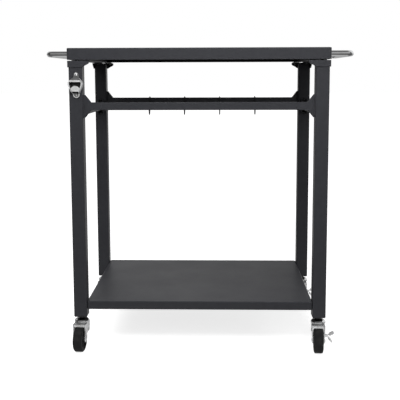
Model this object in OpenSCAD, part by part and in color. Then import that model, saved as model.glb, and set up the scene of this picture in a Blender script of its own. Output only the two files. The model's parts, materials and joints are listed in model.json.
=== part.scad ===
// Grill cart on four swivel casters: folded worktop, square legs, tool rails and a lower shelf.
// Millimetres. +Z is up, +X is to the right and the cart's front faces -Y.
// The origin is on the floor, under the middle of the whole cart's outline.

/* [Worktop] */
// Width of the worktop, left to right
top_w = 770; // [660:5:1000]
// Depth of the worktop, front to back
top_d = 508; // [440:2:620]
// Height of the working surface above the floor
top_z = 914; // [840:2:980]
// Height of the folded lip around the worktop
top_lip = 34; // [30:1:44]
// Thickness of the worktop sheet
top_t = 1.5; // [1:0.1:2.5]
// Distance that the worktop stands out past the legs
overhang = 4; // [3.5:0.5:8]
// Gap between the worktop's lip and the corner brackets, held open by the channels
top_gap = 3; // [2.5:0.5:6]
// Width of the stiffening channels under the worktop, without their flanges
channel_w = 20; // [16:1:22]
// Thickness of the stiffening channels
channel_t = 1.5; // [1.2:0.1:2.5]

/* [Sheet edges] */
// Corner radius of the worktop and the shelf, seen from above
pan_corner = 6; // [6:0.5:12]
// Outside bend radius of the folded lips
pan_bend = 2.8; // [2.7:0.1:3]
// Width of the hem turned inwards under each lip
hem = 9; // [6:1:10]

/* [Legs] */
// Outside width of the square leg tube
leg_w = 40; // [36:1:46]
// Wall of the leg tube
leg_t = 1.5; // [1.2:0.1:2.5]
// Outside corner radius of the leg tube
leg_r = 3; // [2.6:0.2:5]
// Depth of the plastic plug in the foot of each leg
plug_depth = 22; // [16:1:26]

/* [Corner brackets] */
// Height of the bracket's skirt
bracket_h = 19; // [16:1:26]
// Thickness of the bracket's skirt
skirt_t = 3; // [2:0.5:3]
// Thickness of the bracket's top plate
plate_t = 2.5; // [2:0.5:4]
// Length of the lug that points along the cart's width
lug_x = 21; // [20:1:30]
// Length of the lug that points along the cart's depth
lug_y = 26; // [22:1:34]
// Height of the skirt left at the tip of a lug
lug_tip = 4; // [3:0.5:8]

/* [Rails] */
// Height of the rail tube
rail_h = 23; // [19:1:26]
// Thickness of the rail tube, front to back
rail_w = 16; // [14:1:20]
// Wall of the rail tube
rail_t = 1.2; // [1:0.1:1.6]
// Corner radius of the rail tube
rail_r = 2; // [1.7:0.1:3]
// Distance from the working surface down to the middle of the front and rear rails
rail_drop = 170.5; // [120:0.5:260]
// Distance that the side rails lie below the front and rear rails
side_drop = 19; // [18:0.5:20]
// Height of the flared ends of the front and rear rails
gusset_h = 68; // [62:1:84]
// Height of the flared ends of the side rails
side_gusset_h = 56; // [56:1:70]
// Length over which a flared end narrows to the rail
gusset_run = 18; // [12:1:30]
// Length of the tongue that laps the rail, from the leg
tongue = 54; // [46:1:70]
// Thickness of the flared side plates
gusset_t = 1.5; // [1.2:0.1:2.5]
// Thickness of the flange that is bolted to the leg
flange_t = 2.5; // [2:0.5:4]
// Distance of each rail bolt above or below the rail's middle
rail_bolt = 22; // [21:0.5:22.5]

/* [Lower shelf] */
// Height of the shelf's upper face above the floor
shelf_z = 155; // [150:1:400]
// Height of the shelf's folded lip
shelf_lip = 25; // [20:1:28]
// Thickness of the shelf sheet
shelf_t = 1.5; // [1:0.1:2.5]
// Gap between the shelf and the legs beside it
shelf_gap = 0.4; // [0.3:0.1:1]
// Depth of the stiffening channel under the shelf
shelf_rib = 18; // [12:1:20]

/* [Handles] */
// Diameter of the handle rod
rod_d = 13; // [11:0.5:16]
// Distance between the two arms of a handle
handle_len = 300; // [200:5:380]
// Reach of a handle beyond the worktop
handle_reach = 84; // [60:1:100]
// Centre-line radius of the handle's bends
handle_bend = 22; // [16:1:40]
// Distance from the working surface down to the handle's centre line
handle_drop = 12.5; // [11:0.5:16]

/* [Bottle opener] */
// Distance from the working surface down to the opener's upper screw
opener_drop = 77; // [70:1:81]
// Distance between the opener's two screws
opener_pitch = 61; // [58:1:66]
// Widest outside width of the opener's hood
opener_w = 40; // [38:1:46]
// Distance that the hood stands out from its base plate
hood_out = 17; // [14:1:24]
// Thickness of the hood's side walls
hood_t = 3.2; // [2:0.2:4]
// Thickness of the base plate
base_t = 2; // [1.5:0.5:3]

/* [Hooks] */
// Diameter of the hook wire
wire_d = 4; // [3:0.5:5]
// Distance between neighbouring hooks
hook_pitch = 125; // [110:5:160]
// Distance from the top of the rail down to the bottom of a hook
hook_hang = 61; // [54:1:90]
// Centre-line radius of the open loop
loop_r = 10; // [8:0.5:14]
// Length of the hook's short leg behind the rail
hook_back = 17; // [10:1:22]
// Gap between a hook and the rail under it
hook_gap = 0.3; // [0.2:0.1:0.5]

/* [Casters] */
// Wheel diameter
wheel_d = 76; // [60:1:90]
// Width of the tyre
wheel_w = 28; // [24:1:30]
// Diameter of the hub inside the tyre
hub_d = 58; // [50:1:58]
// Radius of the tyre's shoulders
shoulder = 6; // [3:0.5:8]
// Distance from the swivel axis forward to the wheel's axle
trail = 26; // [20:1:32]
// Diameter of the swivel's round crown
crown_d = 46; // [43:1:48]
// Height of the fork's crown
crown_h = 7; // [6:0.5:10]
// Thickness of the fork's sheet
fork_t = 2.4; // [2:0.1:3]
// Gap between the top of the wheel and the crown above it
crown_gap = 2.2; // [2:0.2:6]
// Height of the domed race above the crown
race_h = 13.4; // [10:0.2:18]
// Height of the hexagon under the leg's plug
collar_h = 6; // [5:0.5:9]
// Diameter of the axle bolt
axle_d = 8; // [6:0.5:10]
// Diameter of the swivel stem
stem_d = 10; // [8:0.5:12]
// Turn of the left casters as photographed, in degrees
turn_left = -5; // [-10:1:10]
// Turn of the right casters as photographed, in degrees
turn_right = -4; // [-10:1:10]

/* [Brake levers] */
// Length of a brake paddle from its pivot
paddle_len = 25; // [18:1:28]
// Width of a brake paddle
paddle_w = 26; // [22:1:30]
// Diameter of the brake pivot pin
pivot_d = 3; // [2.5:0.1:3.5]

/* [Fasteners] */
// Diameter of the frame bolts
bolt_d = 6; // [5:0.5:6]
// Diameter of the opener's screws
screw_d = 4; // [3.5:0.5:5]

/* [Hidden] */
$fn = 48;

left = -1;
right = 1;
front = -1;
rear = 1;

// Clearances: round parts that turn or slide in each other, and faces of parts that move
run_clear = 0.08;
face_clear = 0.4;
thread_clear = 0.1;
through_clear = 0.4;
cut = 1;

// Colours
powder = [0.23, 0.235, 0.245];
steel_black = [0.10, 0.10, 0.11];
chrome = [0.80, 0.81, 0.83];
zinc = [0.66, 0.67, 0.70];
rubber = [0.07, 0.07, 0.075];
nylon = [0.11, 0.11, 0.115];

// Places of the legs, measured from the cart's middle
leg_x = top_w / 2 - overhang - leg_w / 2;
leg_y = top_d / 2 - overhang - leg_w / 2;
bay_w = 2 * leg_x - leg_w;
bay_d = 2 * leg_y - leg_w;

// Heights of the caster's parts, from the floor up
wheel_r = wheel_d / 2;
skirt_z = wheel_d + crown_gap;
crown_z = skirt_z + crown_h;
race_z = crown_z + face_clear;
collar_z = race_z + race_h;
plug_flange = 2;
foot_z = collar_z + collar_h + plug_flange;

// Heights of the frame
lip_z = top_z - top_lip;
seat_z = lip_z - top_gap;
leg_top_z = seat_z - plate_t;
leg_h = leg_top_z - foot_z;
rail_z = top_z - rail_drop;
side_rail_z = rail_z - side_drop;
rail_top_z = rail_z + rail_h / 2;

// The origin sits in the middle of the outline: the front casters reach past the worktop
tread_half = wheel_w / 2 - shoulder;
function wheel_reach(turn) =
    (trail + wheel_r - shoulder) * cos(turn) + tread_half * abs(sin(turn)) + shoulder;
front_reach = leg_y + max(wheel_reach(turn_left), wheel_reach(turn_right));
mid_y = (max(front_reach, top_d / 2) - top_d / 2) / 2;

// Fasteners
head_d = 1.75 * bolt_d;
head_h = 0.55 * bolt_d;
nut_af = 10;
nut_h = 5;
socket_af = 0.6 * bolt_d;
function across(flats) = flats / cos(30);

// Worktop channels and the bracket bolts that hold them
channel_depth = top_z - top_t - seat_z;
channel_flange = 16;
channel_x = leg_x - leg_w / 2 + channel_w / 2 - 3;
channel_len = top_d - 2 * (top_t + hem + pan_corner);
lug_w = 25;
lug_corner = 6;
lug_bolt_x = [channel_x - leg_x - (channel_w + channel_flange) / 2, 4];
lug_bolt_y = [channel_x - leg_x + channel_w / 2 + 7, -leg_w / 2 - 12];

// Flared rail ends
gusset_lip = 3;
flange_w = 30;
flange_corner = 4;

// Lower shelf
shelf_w = bay_w - 2 * shelf_gap;
shelf_d = top_d - 2 * overhang;
shelf_bolt_z = shelf_z - shelf_lip / 2;
shelf_rib_w = 30;
shelf_rib_flange = 12;

// Bottle opener, placed about its upper screw
opener_z = top_z - opener_drop;
tab_r = 12.5;
foot_r = 9.5;
hood_top = -14;
bar_h = 6.5;
hood_wide = -30;
hood_low = -50;
hood_low_w = 27;
tooth_r = 10;
tooth_t = 2.5;
tooth_z = -43;
screw_head = 8.5;

// Hooks
hook_bend = rail_r + hook_gap + wire_d / 2;
hook_leg = rail_w / 2 + hook_gap + wire_d / 2;
loop_z = -hook_hang + loop_r + wire_d / 2;
hook_tip = 6;

// Casters
arm_in = wheel_w / 2 + 2.2;
arm_out = arm_in + fork_t;
eye_r = 9.5;
axle_z = wheel_r;
arm_knee = axle_z + 15;
axle_head_h = 5;
axle_nut_h = 7;
axle_af = 13;
race_rim = 3;
race_foot = 2.5;
rivet_h = 2.2;
ear_t = 2;
ear_gap = 10;
pivot_x = arm_out + 5.4;
pivot_z = axle_z + 16;
barrel_r = 4;
ear_r = 4.4;

// Profiles and small helpers

// Extrudes a profile drawn in Y and Z along X, centred
module along_x(length) {
    rotate([90, 0, 90])
        translate([0, 0, -length / 2])
            linear_extrude(length) children();
}

// Extrudes a profile drawn in X and Z along Y, centred
module along_y(length) {
    rotate([90, 0, 0])
        translate([0, 0, -length / 2])
            linear_extrude(length) children();
}

module mirror_x(side) {
    mirror([side < 0 ? 1 : 0, 0, 0]) children();
}

module mirror_y(side) {
    mirror([0, side < 0 ? 1 : 0, 0]) children();
}

// Rectangle with rounded corners
module rounded_rect(w, d, r) {
    square([w - 2 * r, d], center = true);
    square([w, d - 2 * r], center = true);
    for (x = [-1, 1], y = [-1, 1]) {
        translate([x * (w / 2 - r), y * (d / 2 - r)]) circle(r);
    }
}

module tube_section(w, d, r, t) {
    difference() {
        rounded_rect(w, d, r);
        rounded_rect(w - 2 * t, d - 2 * t, r - t);
    }
}

// Solid block with one rounded upper edge
module bend_block(reach, height, bend) {
    square([reach, height - bend]);
    square([reach - bend, height]);
    translate([reach - bend, height - bend]) circle(bend);
}

// Cross-section of a folded edge: flat sheet, bend and lip
module fold_section(reach, height, bend, t) {
    difference() {
        bend_block(reach, height, bend);
        translate([-cut, -cut]) bend_block(reach - t + cut, height - t + cut, bend - t);
    }
}

// Hem strip with mitred ends, turned in from x = 0
module hem_strip(length, width, t) {
    linear_extrude(t)
        polygon([[0, -length / 2], [0, length / 2],
                 [-width, length / 2 - width], [-width, width - length / 2]]);
}

// Sheet folded down on four sides, with its lips' lower edge at z = 0
module folded_pan(w, d, height, t) {
    run_x = w - 2 * pan_corner;
    run_y = d - 2 * pan_corner;
    translate([-run_x / 2, -run_y / 2, height - t]) cube([run_x, run_y, t]);
    for (turn = [0, 180]) rotate([0, 0, turn]) {
        translate([run_x / 2, 0, 0])
            along_y(run_y) fold_section(pan_corner, height, pan_bend, t);
        translate([0, run_y / 2, 0])
            along_x(run_x) fold_section(pan_corner, height, pan_bend, t);
        translate([run_x / 2, run_y / 2, 0])
            rotate_extrude(angle = 90) fold_section(pan_corner, height, pan_bend, t);
        translate([-run_x / 2, run_y / 2, 0]) rotate([0, 0, 90])
            rotate_extrude(angle = 90) fold_section(pan_corner, height, pan_bend, t);
        translate([w / 2 - t, 0, 0]) hem_strip(run_y, hem, t);
        translate([0, d / 2 - t, 0]) rotate([0, 0, 90]) hem_strip(run_x, hem, t);
    }
}

// Hat-shaped channel: crown on top, flanges at z = 0
module hat_section(body, depth, flange, t) {
    translate([-body / 2, depth - t]) square([body, t]);
    for (side = [-1, 1]) mirror_x(side) {
        translate([body / 2 - t, 0]) square([t, depth]);
        translate([body / 2 - t, 0]) square([t + flange, t]);
    }
}

// Round rod between two points of the XY plane
module rod_line(p, q, d) {
    span = q - p;
    translate([p[0], p[1], 0])
        rotate([0, 0, atan2(span[1], span[0])])
            rotate([0, 90, 0]) cylinder(d = d, h = norm(span));
}

// Round rod bent in the XY plane about a centre
module rod_bend(centre, radius, start, sweep, d) {
    translate([centre[0], centre[1], 0])
        rotate([0, 0, start])
            rotate_extrude(angle = sweep) translate([radius, 0]) circle(d = d);
}

// Point where the line from p touches a circle
function tangent_point(p, centre, r, side) =
    let (
        span = centre - p,
        far = norm(span),
        heading = atan2(span[1], span[0]) + side * asin(r / far)
    )
    p + sqrt(far * far - r * r) * [cos(heading), sin(heading)];

// Domed bolt with a hexagon socket, head below z = 0 and shank above
module button_bolt(length) {
    dome_r = (head_h * head_h + head_d * head_d / 4) / (2 * head_h);
    cylinder(d = bolt_d - thread_clear, h = length);
    difference() {
        intersection() {
            translate([0, 0, dome_r - head_h]) sphere(dome_r);
            translate([0, 0, -head_h]) cylinder(d = head_d, h = head_h);
        }
        translate([0, 0, -head_h - cut])
            cylinder(d = across(socket_af), h = head_h / 2 + cut, $fn = 6);
    }
}

module hex_nut() {
    difference() {
        rotate([0, 0, 30]) cylinder(d = across(nut_af), h = nut_h, $fn = 6);
        translate([0, 0, -cut]) cylinder(d = bolt_d, h = nut_h + 2 * cut);
    }
}

module bolt_hole(depth) {
    cylinder(d = bolt_d + through_clear, h = depth, center = true);
}

// Moves a part from the cart's middle into the frame of the whole cart
module placed() {
    translate([0, mid_y, 0]) children();
}

module at_leg(sx, sy) {
    placed() translate([sx * leg_x, sy * leg_y, 0]) children();
}

// Worktop

module worktop() {
    color(powder) placed() difference() {
        translate([0, 0, lip_z]) folded_pan(top_w, top_d, top_lip, top_t);
        for (sx = [left, right], sy = [front, rear])
            translate([sx * (top_w / 2 - top_t / 2), sy * handle_len / 2, top_z - handle_drop])
                rotate([0, 90, 0]) bolt_hole(3 * top_t);
    }
}

module worktop_channel(sx) {
    color(powder) placed() difference() {
        translate([sx * channel_x, 0, seat_z])
            along_y(channel_len)
                hat_section(channel_w, channel_depth, channel_flange, channel_t);
        for (sy = [front, rear]) bracket_bolt_places(sx, sy) bolt_hole(4 * channel_t);
    }
}

// Corner brackets

// Places of a bracket's two bolts, at the height of its upper face
module bracket_bolt_places(sx, sy) {
    for (p = [lug_bolt_x, lug_bolt_y])
        translate([sx * (leg_x + p[0]), sy * (leg_y + p[1]), seat_z]) children();
}

module lug_plan(length) {
    edge = leg_w / 2 + skirt_t;
    tip = -leg_w / 2 - length;
    translate([tip + lug_corner, edge - lug_w]) square([length - lug_corner + leg_w / 2, lug_w]);
    translate([tip, edge - lug_w + lug_corner]) square([lug_corner, lug_w - lug_corner]);
    translate([tip + lug_corner, edge - lug_w + lug_corner]) circle(lug_corner);
}

// Skirt of one side: full height at the leg, then an S-curve up to the lug's tip
module skirt_section(length) {
    steps = 10;
    edge = leg_w / 2 + skirt_t;
    drop = bracket_h - lug_tip;
    curve = [for (i = [0:steps])
        [-leg_w / 2 - length * i / steps, -lug_tip - drop * (1 + cos(180 * i / steps)) / 2]];
    polygon(concat([[edge, 0], [edge, -bracket_h]], curve, [[-leg_w / 2 - length, 0]]));
}

module skirt(length) {
    translate([0, (leg_w + skirt_t) / 2, 0]) along_y(skirt_t) skirt_section(length);
}

// Bracket of the rear right corner, about the leg's axis and its own upper face
module bracket_body() {
    edge = leg_w / 2 + skirt_t;
    block = 8 * leg_w;
    intersection() {
        union() {
            translate([0, 0, -plate_t]) linear_extrude(plate_t) {
                translate([-leg_w / 2, -leg_w / 2]) square(leg_w + skirt_t);
                lug_plan(lug_x);
                mirror([1, -1]) lug_plan(lug_y);
            }
            skirt(lug_x);
            mirror([1, -1, 0]) skirt(lug_y);
        }
        translate([edge - block / 2, edge - block / 2, -block / 2])
            linear_extrude(block) rounded_rect(block, block, leg_r);
    }
}

module corner_bracket(sx, sy) {
    color(powder) difference() {
        at_leg(sx, sy) mirror_x(sx) mirror_y(sy) translate([0, 0, seat_z]) bracket_body();
        placed() bracket_bolt_places(sx, sy) bolt_hole(4 * plate_t);
    }
}

module bracket_bolts() {
    color(zinc) placed()
        for (sx = [left, right], sy = [front, rear]) bracket_bolt_places(sx, sy)
            translate([0, 0, -plate_t]) button_bolt(plate_t + channel_t + nut_h);
}

module bracket_nuts() {
    color(zinc) placed()
        for (sx = [left, right], sy = [front, rear]) bracket_bolt_places(sx, sy)
            translate([0, 0, channel_t]) hex_nut();
}

// Legs

// Runs its children at each bolt on a leg's inner faces, with +Z pointing into the wall
module rail_bolt_places(sx, sy) {
    for (dz = [-rail_bolt, rail_bolt]) {
        translate([-sx * leg_w / 2, 0, rail_z + dz]) rotate([0, sx * 90, 0]) children();
        translate([0, -sy * leg_w / 2, side_rail_z + dz]) rotate([-sy * 90, 0, 0]) children();
    }
}

module shelf_bolt_place(sx) {
    translate([-sx * leg_w / 2, 0, shelf_bolt_z]) rotate([0, sx * 90, 0]) children();
}

module leg(sx, sy) {
    color(powder) at_leg(sx, sy) difference() {
        translate([0, 0, foot_z]) linear_extrude(leg_h) tube_section(leg_w, leg_w, leg_r, leg_t);
        rail_bolt_places(sx, sy) bolt_hole(3 * leg_t);
        shelf_bolt_place(sx) bolt_hole(3 * leg_t);
        if (sx == left && sy == front) {
            for (dz = [0, -opener_pitch])
                translate([0, -leg_w / 2, opener_z + dz])
                    rotate([90, 0, 0]) cylinder(d = screw_d, h = 3 * leg_t, center = true);
        }
    }
}

module rail_bolts() {
    color(zinc)
        for (sx = [left, right], sy = [front, rear]) at_leg(sx, sy)
            rail_bolt_places(sx, sy) translate([0, 0, -flange_t])
                button_bolt(flange_t + leg_t + nut_h);
}

module shelf_bolts() {
    grip = shelf_t + shelf_gap;
    color(zinc)
        for (sx = [left, right], sy = [front, rear]) at_leg(sx, sy)
            shelf_bolt_place(sx) translate([0, 0, -grip]) button_bolt(grip + leg_t + nut_h);
}

module leg_nuts() {
    color(zinc)
        for (sx = [left, right], sy = [front, rear]) at_leg(sx, sy) {
            rail_bolt_places(sx, sy) translate([0, 0, leg_t]) hex_nut();
            shelf_bolt_place(sx) translate([0, 0, leg_t]) hex_nut();
        }
}

module leg_plug(sx, sy) {
    inside = leg_w - 2 * leg_t - 0.2;
    color(nylon) at_leg(sx, sy) translate([0, 0, foot_z]) difference() {
        union() {
            linear_extrude(plug_depth) rounded_rect(inside, inside, leg_r - leg_t);
            translate([0, 0, -plug_flange])
                linear_extrude(plug_flange) rounded_rect(leg_w - 2, leg_w - 2, leg_r);
        }
        translate([0, 0, -plug_flange - cut])
            cylinder(d = stem_d, h = plug_depth + plug_flange + 2 * cut);
    }
}

// Rails

// Side plate of a flared end, from the leg at x = 0 back along the rail
module fishtail(gusset) {
    half = gusset / 2;
    low = rail_h / 2;
    end = -tongue + low;
    polygon([[0, half], [-gusset_lip, half], [-gusset_lip - gusset_run, low], [end, low],
             [end, -low], [-gusset_lip - gusset_run, -low], [-gusset_lip, -half], [0, -half]]);
    translate([end, 0]) circle(low);
}

module rail_end(gusset) {
    translate([-flange_t / 2, 0, 0])
        along_x(flange_t) rounded_rect(flange_w, gusset, flange_corner);
    for (side = [-1, 1])
        translate([0, side * (rail_w + gusset_t) / 2, 0]) along_y(gusset_t) fishtail(gusset);
}

// Rail along X with a flared, flanged end at each leg
module rail_body(span, gusset) {
    difference() {
        union() {
            along_x(span) rounded_rect(rail_w, rail_h, rail_r);
            for (side = [-1, 1]) mirror_x(side) translate([span / 2, 0, 0]) rail_end(gusset);
        }
        along_x(span + 2 * cut)
            rounded_rect(rail_w - 2 * rail_t, rail_h - 2 * rail_t, rail_r - rail_t);
        for (side = [-1, 1], dz = [-rail_bolt, rail_bolt])
            translate([side * (span - flange_t) / 2, 0, dz])
                rotate([0, 90, 0]) bolt_hole(2 * flange_t);
    }
}

module cross_rail(sy) {
    color(powder) placed() translate([0, sy * leg_y, rail_z]) rail_body(bay_w, gusset_h);
}

module side_rail(sx) {
    color(powder) placed() translate([sx * leg_x, 0, side_rail_z])
        rotate([0, 0, 90]) rail_body(bay_d, side_gusset_h);
}

// Lower shelf

module lower_shelf() {
    color(powder) placed() difference() {
        translate([0, 0, shelf_z - shelf_lip])
            folded_pan(shelf_w, shelf_d, shelf_lip, shelf_t);
        for (sx = [left, right], sy = [front, rear])
            translate([sx * (shelf_w - shelf_t) / 2, sy * leg_y, shelf_bolt_z])
                rotate([0, 90, 0]) bolt_hole(3 * shelf_t);
    }
}

module shelf_channel() {
    length = shelf_w - 2 * (shelf_t + hem + 1);
    color(powder) placed() translate([0, 0, shelf_z - shelf_t - shelf_rib])
        along_x(length) hat_section(shelf_rib_w, shelf_rib, shelf_rib_flange, channel_t);
}

// Handles

module handle(sx) {
    arm = handle_reach - rod_d / 2 - handle_bend;
    half = handle_len / 2;
    color(chrome) placed() mirror_x(sx)
        translate([top_w / 2, 0, top_z - handle_drop]) difference() {
            union() {
                rod_line([arm + handle_bend, handle_bend - half],
                         [arm + handle_bend, half - handle_bend], rod_d);
                for (side = [-1, 1]) mirror_y(side) {
                    rod_line([0, half], [arm, half], rod_d);
                    rod_bend([arm, half - handle_bend], handle_bend, 0, 90, rod_d);
                }
            }
            for (side = [-1, 1]) translate([-cut, side * half, 0])
                rotate([0, 90, 0]) cylinder(d = bolt_d, h = 18 + cut);
        }
}

module handle_bolts() {
    color(zinc) placed()
        for (sx = [left, right], sy = [front, rear]) mirror_x(sx)
            translate([top_w / 2 - top_t, sy * handle_len / 2, top_z - handle_drop])
                rotate([0, 90, 0]) button_bolt(14);
}

// Bottle opener

// Outline of the base plate about the upper screw, in X and Z
module opener_plan() {
    translate([0, 0]) circle(tab_r - 3);
    polygon([[3 - tab_r, 0], [tab_r - 3, 0], [tab_r, hood_top], [-tab_r, hood_top]]);
    hood_outline(0);
    polygon([[-hood_low_w / 2, hood_low], [hood_low_w / 2, hood_low],
             [foot_r, -opener_pitch], [-foot_r, -opener_pitch]]);
    translate([0, -opener_pitch]) circle(foot_r);
}

// Outline of the hood, drawn in by a wall's thickness for its inside
module hood_outline(wall) {
    top_half = tab_r + 1 - wall;
    wide_half = opener_w / 2 - wall;
    low_half = hood_low_w / 2 - wall;
    polygon([[-top_half, hood_top], [top_half, hood_top],
             [wide_half, hood_wide + 6], [wide_half, hood_wide],
             [low_half, hood_low], [-low_half, hood_low],
             [-wide_half, hood_wide], [-wide_half, hood_wide + 6]]);
}

// Lip that catches the cap: a plate with a round tooth on its upper edge
module tooth_section() {
    intersection() {
        union() {
            translate([-opener_w / 2, hood_low]) square([opener_w, tooth_z + 4 - hood_low]);
            translate([0, tooth_z]) circle(tooth_r);
        }
        hood_outline(hood_t / 2);
    }
}

module bottle_opener() {
    color(zinc) at_leg(left, front) translate([0, -leg_w / 2, opener_z]) {
        difference() {
            union() {
                translate([0, -base_t / 2, 0]) along_y(base_t) opener_plan();
                translate([0, -(base_t + hood_out) / 2, 0]) along_y(base_t + hood_out)
                    difference() {
                        hood_outline(0);
                        difference() {
                            hood_outline(hood_t);
                            translate([-opener_w, hood_top - bar_h]) square([2 * opener_w, bar_h]);
                        }
                        translate([-opener_w, hood_low - cut])
                            square([2 * opener_w, cut + 0.01]);
                    }
                translate([0, -base_t - hood_out + tooth_t / 2 + 2, 0])
                    along_y(tooth_t) tooth_section();
            }
            for (dz = [0, -opener_pitch])
                translate([0, 0, dz]) rotate([90, 0, 0])
                    cylinder(d = screw_d + through_clear, h = 4 * base_t, center = true);
        }
    }
}

module opener_screws() {
    color(zinc) at_leg(left, front) translate([0, -leg_w / 2 - base_t, opener_z])
        for (dz = [0, -opener_pitch]) translate([0, 0, dz]) rotate([90, 0, 0]) {
            translate([0, 0, -base_t - 8])
                cylinder(d = screw_d - thread_clear, h = base_t + 8);
            difference() {
                intersection() {
                    translate([0, 0, -2.6]) sphere(d = screw_head + 1.8);
                    cylinder(d = screw_head, h = 4);
                }
                for (turn = [0, 90]) rotate([0, 0, turn])
                    translate([-2.4, -0.5, 1.6]) cube([4.8, 1, 4]);
            }
        }
}

// Hooks

// Hook drawn in Y and Z about the middle of the rail's upper face
module hook_body() {
    top = hook_gap + wire_d / 2;
    corner = rail_w / 2 - rail_r;
    rotate([90, 0, 90]) {
        rod_line([-corner, top], [corner, top], wire_d);
        rod_bend([corner, -rail_r], hook_bend, 0, 90, wire_d);
        rod_bend([-corner, -rail_r], hook_bend, 90, 90, wire_d);
        rod_line([hook_leg, -rail_r], [hook_leg, -hook_back], wire_d);
        rod_line([-hook_leg, -rail_r], [-hook_leg, loop_z], wire_d);
        rod_bend([-hook_leg - loop_r, loop_z], loop_r, 180, 180, wire_d);
        rod_line([-hook_leg - 2 * loop_r, loop_z], [-hook_leg - 2 * loop_r, loop_z + hook_tip],
                 wire_d);
        translate([-hook_leg - 2 * loop_r, loop_z + hook_tip, 0]) sphere(d = wire_d);
        translate([hook_leg, -hook_back, 0]) sphere(d = wire_d);
    }
}

module hook(index) {
    color(steel_black) placed()
        translate([(index - 2.5) * hook_pitch, leg_y, rail_top_z]) hook_body();
}

// Casters

module at_caster(sx, sy) {
    turn = sx == left ? turn_left : turn_right;
    at_leg(sx, sy) rotate([0, 0, turn]) children();
}

// Threaded stem with its hexagon, the domed race and the kingpin below, about the swivel axis
module caster_stem(sx, sy) {
    rim_z = race_z + race_foot;
    dome_z = rim_z + race_rim;
    dome_h = collar_z - dome_z;
    race_r = crown_d / 2 - 1;
    steps = 6;
    dome = [for (i = [0:steps])
        [5 + (race_r - 5) * cos(90 * i / steps), dome_z + dome_h * sin(90 * i / steps)]];
    color(chrome) at_caster(sx, sy) {
        translate([0, 0, collar_z + collar_h])
            cylinder(d = stem_d - thread_clear, h = plug_flange + plug_depth - 1);
        translate([0, 0, collar_z]) cylinder(d = across(16), h = collar_h, $fn = 6);
        rotate_extrude()
            polygon(concat([[0, race_z], [race_r - 4, race_z], [race_r, rim_z]],
                           dome, [[0, collar_z]]));
        translate([0, 0, crown_z - fork_t - face_clear])
            cylinder(d = stem_d, h = fork_t + face_clear + race_rim);
        translate([0, 0, crown_z - fork_t - face_clear - rivet_h])
            cylinder(d = stem_d + 6, h = rivet_h);
    }
}

// Half section of the fork's round crown: top plate, rounded edge and skirt
module crown_section() {
    bend = 3;
    r = crown_d / 2;
    difference() {
        union() {
            translate([0, skirt_z]) square([r, crown_h - bend]);
            translate([0, skirt_z]) square([r - bend, crown_h]);
            translate([r - bend, crown_z - bend]) circle(bend);
        }
        translate([0, skirt_z - cut]) square([r - fork_t, crown_h - fork_t + cut]);
        translate([0, skirt_z - cut]) square([stem_d / 2 + run_clear, crown_h + 2 * cut]);
    }
}

// Front view of one fork arm: down from the crown, drawn in at the knee, then straight
module arm_section() {
    r = crown_d / 2;
    low = axle_z - eye_r - cut;
    polygon([[r - fork_t, crown_z - fork_t], [r, crown_z - fork_t], [r, skirt_z],
             [arm_out, arm_knee], [arm_out, low], [arm_in, low], [arm_in, arm_knee],
             [r - fork_t, skirt_z]]);
}

// Side view of a fork arm: wide at the crown, tapering to the axle's eye
module arm_outline() {
    eye = [-trail, axle_z];
    back = [13, skirt_z - 1];
    ahead = [-17, skirt_z - 1];
    polygon([[-9, crown_z - fork_t], [9, crown_z - fork_t], back,
             tangent_point(back, eye, eye_r, 1), eye,
             tangent_point(ahead, eye, eye_r, -1), ahead]);
    translate(eye) circle(eye_r);
}

module fork_arm() {
    wide = 4 * trail;
    intersection() {
        translate([0, -trail / 2, 0]) along_y(wide) arm_section();
        translate([crown_d / 2, 0, 0]) along_x(crown_d) arm_outline();
    }
}

// Two ears on the outer arm that carry the brake lever's pivot pin
module brake_ears() {
    for (side = [-1, 1])
        translate([0, -trail + side * (ear_gap + ear_t) / 2, 0]) along_y(ear_t) {
            translate([arm_out - 1, pivot_z - ear_r])
                square([pivot_x - arm_out + 1, 2 * ear_r]);
            translate([pivot_x, pivot_z]) circle(ear_r);
        }
    translate([pivot_x, -trail, pivot_z]) rotate([90, 0, 0])
        cylinder(d = pivot_d, h = ear_gap + 2 * ear_t + 1, center = true);
}

module caster_fork(sx, sy) {
    color(chrome) at_caster(sx, sy) difference() {
        union() {
            rotate_extrude() crown_section();
            for (side = [-1, 1]) mirror_x(side) fork_arm();
            if (sx == right) brake_ears();
        }
        translate([0, -trail, axle_z]) rotate([0, 90, 0])
            cylinder(d = axle_d + run_clear, h = 2 * arm_out + 2 * cut, center = true);
    }
}

// Axle bolt with its head on the cart's outer side and a nut on the inner side
module caster_axle(sx, sy) {
    color(zinc) at_caster(sx, sy) translate([0, -trail, axle_z]) mirror_x(sx)
        rotate([0, 90, 0]) {
            translate([0, 0, -arm_out - axle_nut_h - 1])
                cylinder(d = axle_d, h = 2 * arm_out + axle_nut_h + 1);
            translate([0, 0, arm_out])
                cylinder(d = across(axle_af), h = axle_head_h, $fn = 6);
            translate([0, 0, -arm_out - axle_nut_h])
                cylinder(d = across(axle_af), h = axle_nut_h, $fn = 6);
        }
}

module at_wheel(sx, sy) {
    at_caster(sx, sy) translate([0, -trail, axle_z]) rotate([0, 90, 0]) children();
}

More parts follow.
